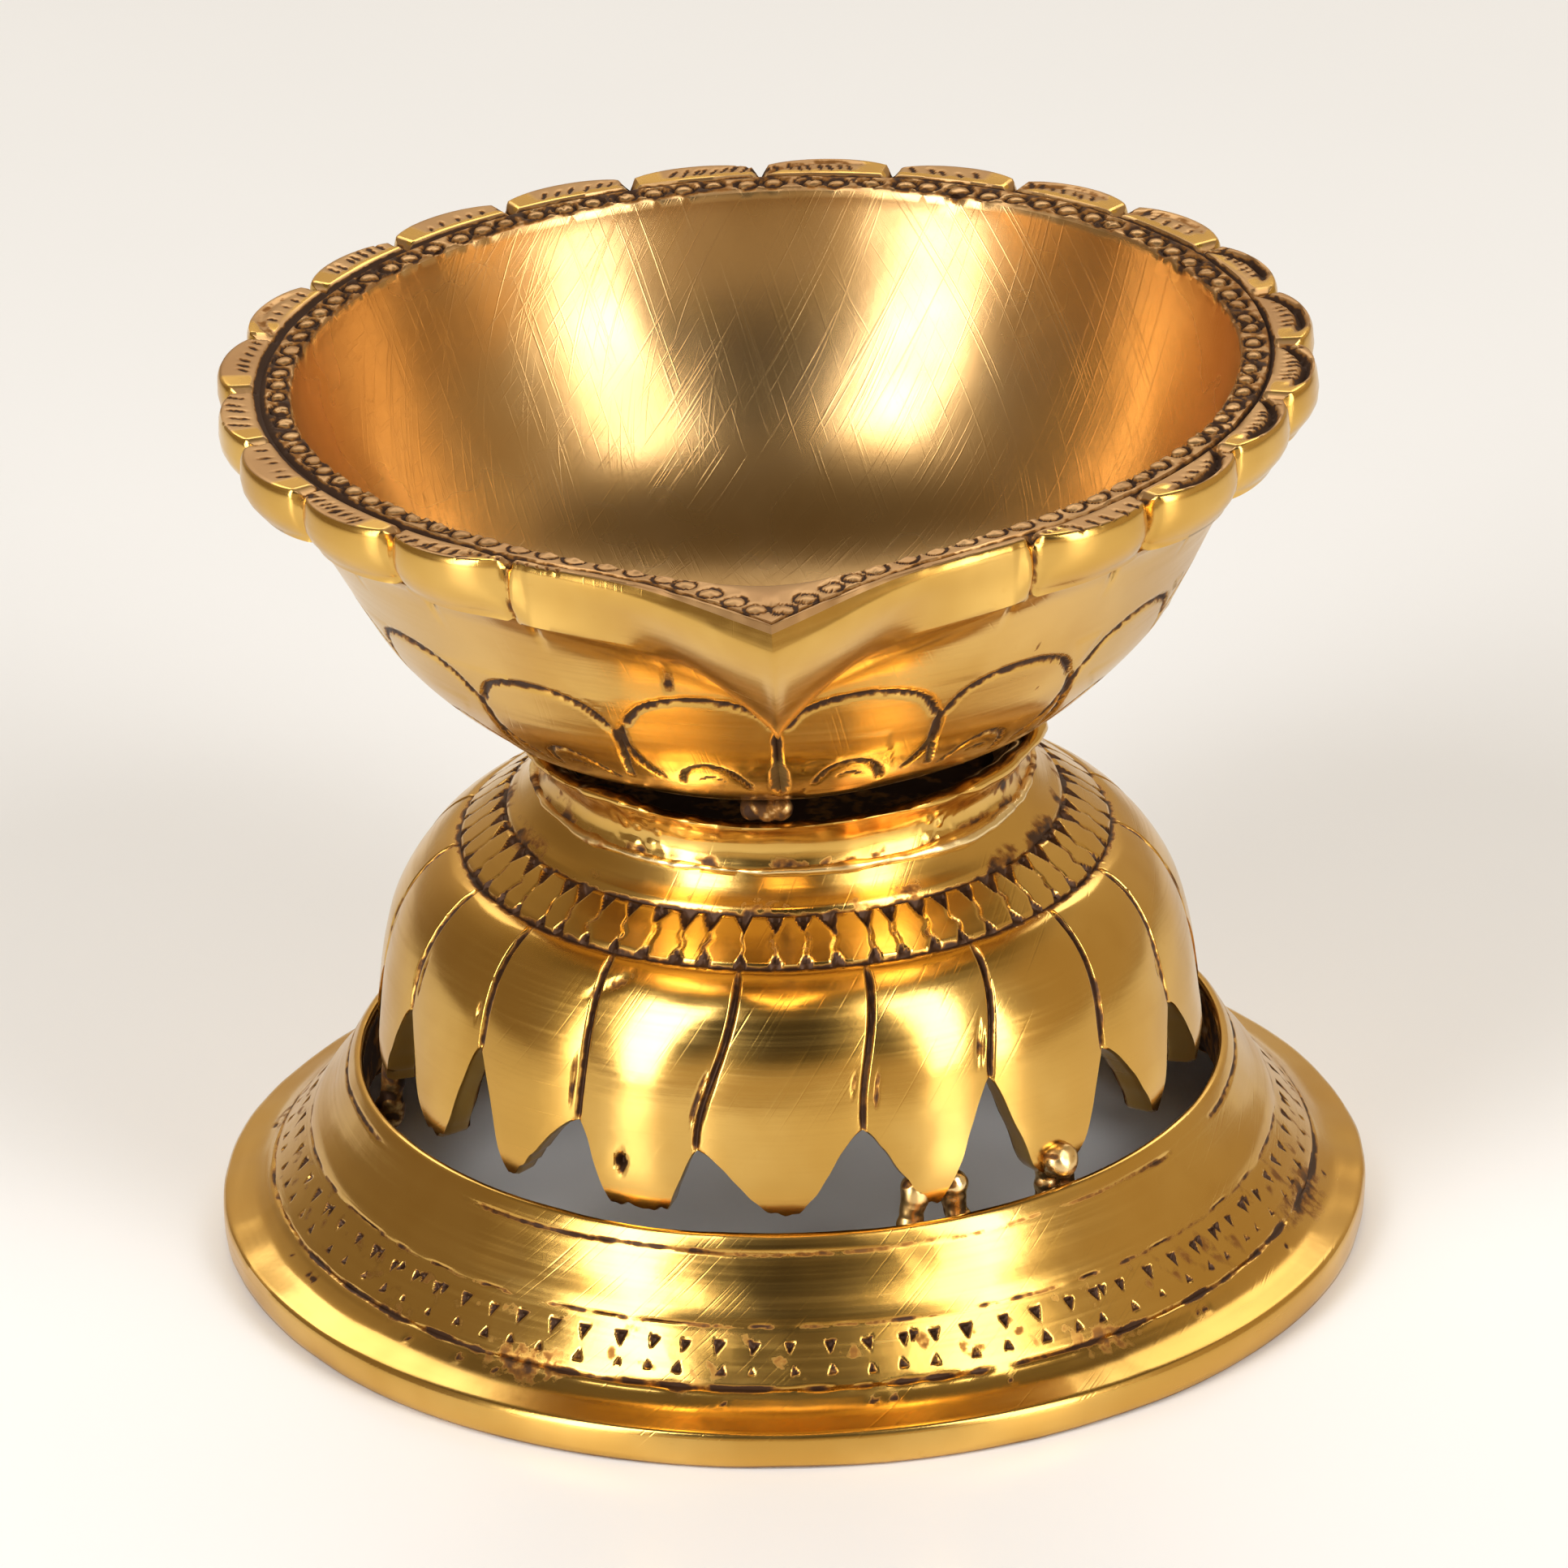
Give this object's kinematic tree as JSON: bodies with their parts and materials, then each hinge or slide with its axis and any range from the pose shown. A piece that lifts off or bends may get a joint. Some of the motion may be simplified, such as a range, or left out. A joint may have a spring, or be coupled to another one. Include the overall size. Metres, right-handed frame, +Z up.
{
  "type": "diya oil lamp",
  "caption": "Open brass oil lamp: round bowl with scalloped rim and pouring lip, on a flared collar, an inverted openwork lotus dome and a flared foot ring.",
  "frame": {"origin": "on the table, at the middle of the round foot ring, where the lamp's vertical axis meets the surface it stands on", "axes": "+Z up along the axis of the stand, -Y towards the front, where the pouring lip points, +X to the right as seen from the front"},
  "size_m": [0.093, 0.0991, 0.0751],
  "materials": {
    "stand_brass": "polished cast brass with dark brown patina in the engraved lines",
    "bowl_brass": "polished outside, satin and finely scratched inside, patina in the rim engraving",
    "braze_filler": "rough pale brazing alloy, file marked"
  },
  "bodies": {
    "root": {"base_ring": "stand_brass", "lotus_dome": "stand_brass", "neck_collar": "stand_brass", "diya_bowl": "bowl_brass", "collar_braze_seam": "braze_filler", "petal_braze_1": "braze_filler", "petal_braze_2": "braze_filler", "petal_braze_3": "braze_filler", "petal_braze_4": "braze_filler", "petal_braze_5": "braze_filler", "bowl_braze_1": "braze_filler", "bowl_braze_2": "braze_filler", "bowl_braze_3": "braze_filler", "bowl_braze_4": "braze_filler"}
  },
  "joints": []
}
